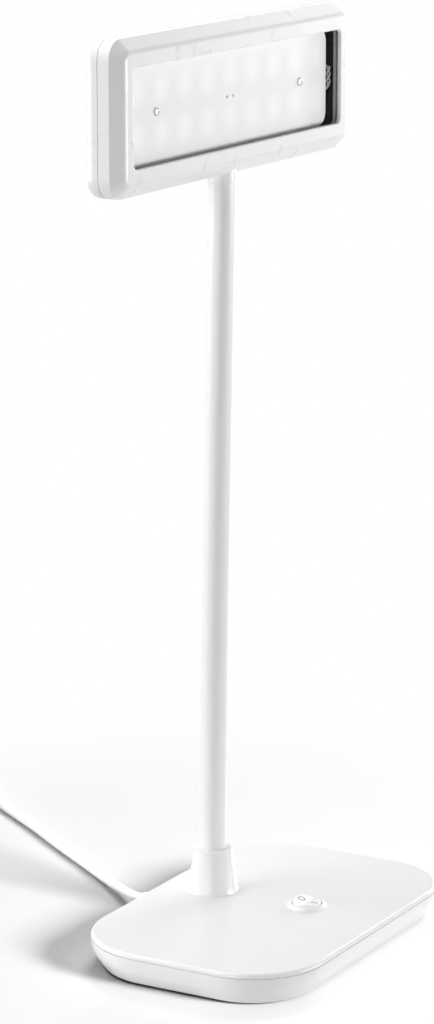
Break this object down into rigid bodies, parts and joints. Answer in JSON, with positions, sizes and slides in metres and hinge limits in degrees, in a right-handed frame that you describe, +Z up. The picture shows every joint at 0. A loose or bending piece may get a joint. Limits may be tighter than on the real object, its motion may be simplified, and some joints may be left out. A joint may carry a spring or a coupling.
{
  "type": "light therapy lamp",
  "caption": "Bright light therapy lamp: a flat lit head on a flexible neck that bends and leans, on a weighted base with a round rocker switch and a mains cord.",
  "frame": {"origin": "on the table, under the middle of the head from side to side and the middle of the base from front to back", "axes": "+Z up, the lit front of the head and the switch side of the base face -Y, +X to the lamp's left as it faces the user"},
  "size_m": [0.2989, 0.4715, 0.541],
  "materials": {
    "base_gloss_white": "injection moulded gloss white plastic",
    "head_gloss_white": "injection moulded gloss white plastic",
    "neck_sleeve_white": "smooth satin white sleeve",
    "switch_white": "gloss white plastic",
    "cord_white": "soft white cable jacket",
    "foot_rubber": "grey rubber",
    "zinc_steel": "zinc plated steel",
    "ballast_steel": "black oxide steel plate",
    "white_metal": "white powder coated metal",
    "terminal_brass": "bright brass",
    "circuit_board": "green solder mask",
    "component_dark": "dark moulded components",
    "clear_pane": "clear acrylic, polished",
    "gasket_grey": "grey foam rubber",
    "carrier_black": "black moulded plastic",
    "opal_panel": "opal light panel",
    "led_board_white": "aluminium core board with white mask",
    "led_yellow": "LED chips with yellow phosphor",
    "lead_white": "insulated leads",
    "tie_black": "soft black tie strap",
    "plug_white": "satin white moulded plug",
    "pin_nickel": "nickel plated brass"
  },
  "bodies": {
    "base": {"base_lower_housing": "base_gloss_white", "base_top_cover": "base_gloss_white", "rubber_feet": "foot_rubber", "base_screws": "zinc_steel", "inner_base_screws": "zinc_steel", "ballast_plate": "ballast_steel", "neck_socket": "zinc_steel", "socket_screws": "zinc_steel", "neck_lower_ferrule": "zinc_steel", "neck_collar": "base_gloss_white", "switch_body": "switch_white", "switch_terminals": "terminal_brass", "driver_board": "circuit_board", "driver_components": "component_dark", "mains_leads": "lead_white", "lamp_leads": "lead_white", "strain_relief": "cord_white", "cord_clamp": "component_dark", "clamp_screws": "zinc_steel", "mains_cord": "cord_white", "cord_coil": "cord_white", "plug_lead": "cord_white", "coil_tie": "tie_black", "plug_body": "plug_white", "plug_pins": "pin_nickel", "neck_sleeve_0": "neck_sleeve_white"},
    "neck_1": {"neck_sleeve_1": "neck_sleeve_white", "neck_core_1": "zinc_steel"},
    "neck_2": {"neck_sleeve_2": "neck_sleeve_white", "neck_core_2": "zinc_steel"},
    "neck_3": {"neck_sleeve_3": "neck_sleeve_white", "neck_core_3": "zinc_steel"},
    "neck_4": {"neck_sleeve_4": "neck_sleeve_white", "neck_core_4": "zinc_steel"},
    "neck_5": {"neck_sleeve_5": "neck_sleeve_white", "neck_core_5": "zinc_steel"},
    "neck_6": {"neck_sleeve_6": "neck_sleeve_white", "neck_core_6": "zinc_steel"},
    "neck_7": {"neck_sleeve_7": "neck_sleeve_white", "neck_core_7": "zinc_steel"},
    "head": {"head_front_bezel": "head_gloss_white", "head_rear_shell": "head_gloss_white", "head_shell_screws": "zinc_steel", "clear_window": "clear_pane", "window_gasket": "gasket_grey", "panel_carrier": "carrier_black", "carrier_screws": "zinc_steel", "light_panel": "opal_panel", "panel_spacers": "lead_white", "panel_screws": "zinc_steel", "led_board": "led_board_white", "led_chips": "led_yellow", "led_connector": "lead_white", "neck_bracket": "zinc_steel", "neck_upper_ferrule": "white_metal", "head_nut": "zinc_steel", "head_leads": "lead_white", "neck_sleeve_8": "neck_sleeve_white"},
    "rocker": {"switch_rocker": "switch_white"}
  },
  "joints": [
    {"name": "neck_bend", "type": "hinge", "parent": "base", "child": "neck_1", "pos_m": [0, 0.042, 0.0593], "axis": [1, 0, 0], "range_deg": [-10, 18]},
    {"name": "neck_lean", "type": "hinge", "parent": "neck_1", "child": "neck_2", "pos_m": [0, 0.04155, 0.11269], "axis": [0, 1, 0], "range_deg": [-12, 12]},
    {"name": "neck_bend_2", "type": "hinge", "parent": "neck_2", "child": "neck_3", "pos_m": [0, 0.04086, 0.16607], "axis": [1, 0, 0], "range_deg": [-10, 18]},
    {"name": "neck_lean_2", "type": "hinge", "parent": "neck_3", "child": "neck_4", "pos_m": [0, 0.04002, 0.21946], "axis": [0, 1, 0], "range_deg": [-12, 12]},
    {"name": "neck_bend_3", "type": "hinge", "parent": "neck_4", "child": "neck_5", "pos_m": [0, 0.03909, 0.27284], "axis": [1, 0, 0], "range_deg": [-10, 18]},
    {"name": "neck_lean_3", "type": "hinge", "parent": "neck_5", "child": "neck_6", "pos_m": [0, 0.03806, 0.32623], "axis": [0, 1, 0], "range_deg": [-12, 12]},
    {"name": "neck_bend_4", "type": "hinge", "parent": "neck_6", "child": "neck_7", "pos_m": [0, 0.03696, 0.37961], "axis": [1, 0, 0], "range_deg": [-10, 18]},
    {"name": "neck_lean_4", "type": "hinge", "parent": "neck_7", "child": "head", "pos_m": [0, 0.0358, 0.433], "axis": [0, 1, 0], "range_deg": [-12, 12]},
    {"name": "rocker_tip", "type": "hinge", "parent": "base", "child": "rocker", "pos_m": [0, -0.022, 0.0206], "axis": [1, 0, 0], "range_deg": [-16, 0]}
  ],
  "couplings": [
    {"joint": "neck_bend_2", "follows": "neck_bend", "ratio": 1},
    {"joint": "neck_lean_2", "follows": "neck_lean", "ratio": 1},
    {"joint": "neck_bend_3", "follows": "neck_bend", "ratio": 1},
    {"joint": "neck_lean_3", "follows": "neck_lean", "ratio": 1},
    {"joint": "neck_bend_4", "follows": "neck_bend", "ratio": 1},
    {"joint": "neck_lean_4", "follows": "neck_lean", "ratio": 1}
  ]
}
